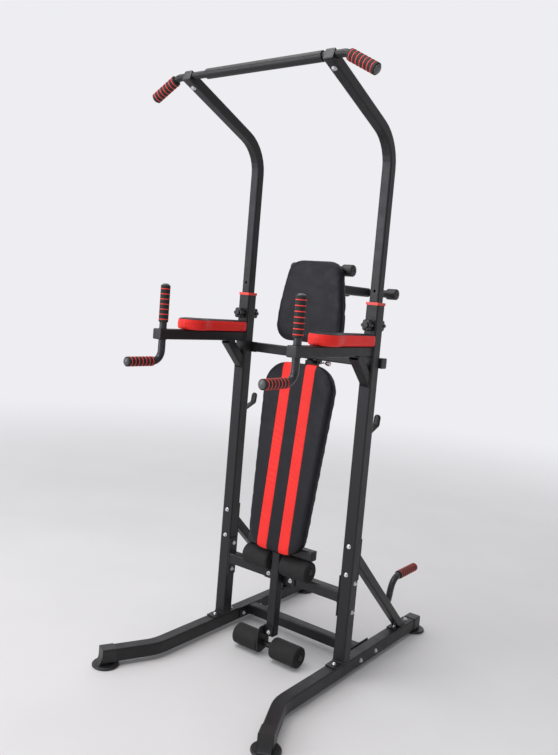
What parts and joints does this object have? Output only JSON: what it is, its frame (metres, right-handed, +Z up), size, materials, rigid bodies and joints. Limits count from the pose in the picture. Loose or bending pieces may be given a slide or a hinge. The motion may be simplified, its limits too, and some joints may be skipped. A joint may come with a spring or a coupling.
{
  "type": "power tower with folding bench",
  "caption": "Height-adjustable power tower: pull-up bar, dip arms, backrest, folding bench, leg rollers, barbell hooks and push-up handles on a tubular steel frame.",
  "frame": {"origin": "on the floor, midway between the two uprights, 11 mm in front of the bounding box's bottom centre", "axes": "+Z up; -Y to the front, where the dip arms, the pull-up bar and the splayed feet point; +X to the right seen from the front"},
  "size_m": [0.9582, 1.3027, 2.1923],
  "materials": {
    "black_powder_coat": "satin black powder coat",
    "zinc": "zinc plated",
    "black_plastic": "moulded, fine grain",
    "red_plastic": "moulded",
    "grip_rubber": "ribbed rubber with red rings",
    "black_foam": "closed-cell foam",
    "red_vinyl": "smooth vinyl over foam",
    "black_vinyl": "smooth vinyl over foam, the bench with two red stripes"
  },
  "bodies": {
    "frame": {"lower_cross_tube": "black_powder_coat", "mid_cross_tube": "black_powder_coat", "dip_cross_tube": "black_powder_coat", "backrest_frame": "black_powder_coat", "upper_crossbar": "black_powder_coat", "rear_crossbar": "black_powder_coat", "backrest_pad": "black_vinyl", "leg_post": "black_powder_coat", "upper_roller_axle": "zinc", "lower_roller_bracket": "black_powder_coat", "bench_hinge_pin": "zinc", "base_tube_left": "black_powder_coat", "base_tube_right": "black_powder_coat", "foot_cap_front_left": "black_plastic", "foot_cap_front_right": "black_plastic", "foot_cap_rear_left": "black_plastic", "foot_cap_rear_right": "black_plastic", "lower_upright_left": "black_powder_coat", "lower_upright_right": "black_powder_coat", "height_collar_left": "red_plastic", "height_collar_right": "red_plastic", "dip_arm_left": "black_powder_coat", "dip_arm_right": "black_powder_coat", "dip_handle_left": "black_powder_coat", "dip_handle_right": "black_powder_coat", "dip_grip_upper_left": "grip_rubber", "dip_grip_upper_right": "grip_rubber", "dip_grip_lower_left": "grip_rubber", "dip_grip_lower_right": "grip_rubber", "arm_pad_left": "red_vinyl", "arm_pad_right": "red_vinyl", "upper_bumper_left": "black_plastic", "upper_bumper_right": "black_plastic", "rear_bumper_left": "black_plastic", "rear_bumper_right": "black_plastic", "rear_brace_left": "black_powder_coat", "rear_brace_right": "black_powder_coat", "pushup_handle_left": "black_powder_coat", "pushup_handle_right": "black_powder_coat", "pushup_grip_left": "grip_rubber", "pushup_grip_right": "grip_rubber", "barbell_hook_left": "black_powder_coat", "barbell_hook_right": "black_powder_coat"},
    "sliding_top": {"upper_upright_left": "black_powder_coat", "upper_upright_right": "black_powder_coat", "pull_up_bar": "black_powder_coat", "pull_up_grip_left": "grip_rubber", "pull_up_grip_right": "grip_rubber"},
    "bench": {"bench_board": "black_vinyl", "bench_frame": "black_powder_coat"},
    "bench_leg": {"bench_leg": "black_powder_coat"},
    "latch_pin": {"bench_latch_pin": "zinc"},
    "pull_pin_left": {"pull_pin_left": "black_plastic"},
    "pull_pin_right": {"pull_pin_right": "black_plastic"},
    "clamp_knob_left": {"clamp_knob_left": "black_plastic"},
    "clamp_knob_right": {"clamp_knob_right": "black_plastic"},
    "leg_roller_upper_left": {"leg_roller_upper_left": "black_foam"},
    "leg_roller_upper_right": {"leg_roller_upper_right": "black_foam"},
    "leg_roller_lower_left": {"leg_roller_lower_left": "black_foam"},
    "leg_roller_lower_right": {"leg_roller_lower_right": "black_foam"}
  },
  "joints": [
    {"name": "height_slide", "type": "slide", "parent": "frame", "child": "sliding_top", "axis": [0, 0, 1], "range_m": [-0.124, 0.062]},
    {"name": "bench_fold", "type": "hinge", "parent": "frame", "child": "bench", "pos_m": [0, -0.036, 0.484], "axis": [-1, 0, 0], "range_deg": [0, 83.8]},
    {"name": "bench_leg_fold", "type": "hinge", "parent": "bench", "child": "bench_leg", "pos_m": [0, 0.06638, 1.07641], "axis": [1, 0, 0], "range_deg": [0, 90]},
    {"name": "latch_pull", "type": "slide", "parent": "frame", "child": "latch_pin", "axis": [1, 0, 0], "range_m": [0, 0.014], "stiffness_N_per_m": 300, "springref_m": -0.01},
    {"name": "pull_pin_left_pull", "type": "slide", "parent": "frame", "child": "pull_pin_left", "axis": [0, -1, 0], "range_m": [0, 0.012], "stiffness_N_per_m": 500, "springref_m": -0.01},
    {"name": "clamp_knob_left_turn", "type": "hinge", "parent": "frame", "child": "clamp_knob_left", "pos_m": [-0.3, 0.05, 1.35], "axis": [0, 1, 0], "continuous": true},
    {"name": "pull_pin_right_pull", "type": "slide", "parent": "frame", "child": "pull_pin_right", "axis": [0, -1, 0], "range_m": [0, 0.012], "stiffness_N_per_m": 500, "springref_m": -0.01},
    {"name": "clamp_knob_right_turn", "type": "hinge", "parent": "frame", "child": "clamp_knob_right", "pos_m": [0.3, 0.05, 1.35], "axis": [0, 1, 0], "continuous": true},
    {"name": "roller_upper_left_spin", "type": "hinge", "parent": "frame", "child": "leg_roller_upper_left", "pos_m": [0, -0.047, 0.384], "axis": [1, 0, 0], "continuous": true},
    {"name": "roller_lower_left_spin", "type": "hinge", "parent": "frame", "child": "leg_roller_lower_left", "pos_m": [0, -0.068, 0.049], "axis": [1, 0, 0], "continuous": true},
    {"name": "roller_upper_right_spin", "type": "hinge", "parent": "frame", "child": "leg_roller_upper_right", "pos_m": [0, -0.047, 0.384], "axis": [1, 0, 0], "continuous": true},
    {"name": "roller_lower_right_spin", "type": "hinge", "parent": "frame", "child": "leg_roller_lower_right", "pos_m": [0, -0.068, 0.049], "axis": [1, 0, 0], "continuous": true}
  ]
}
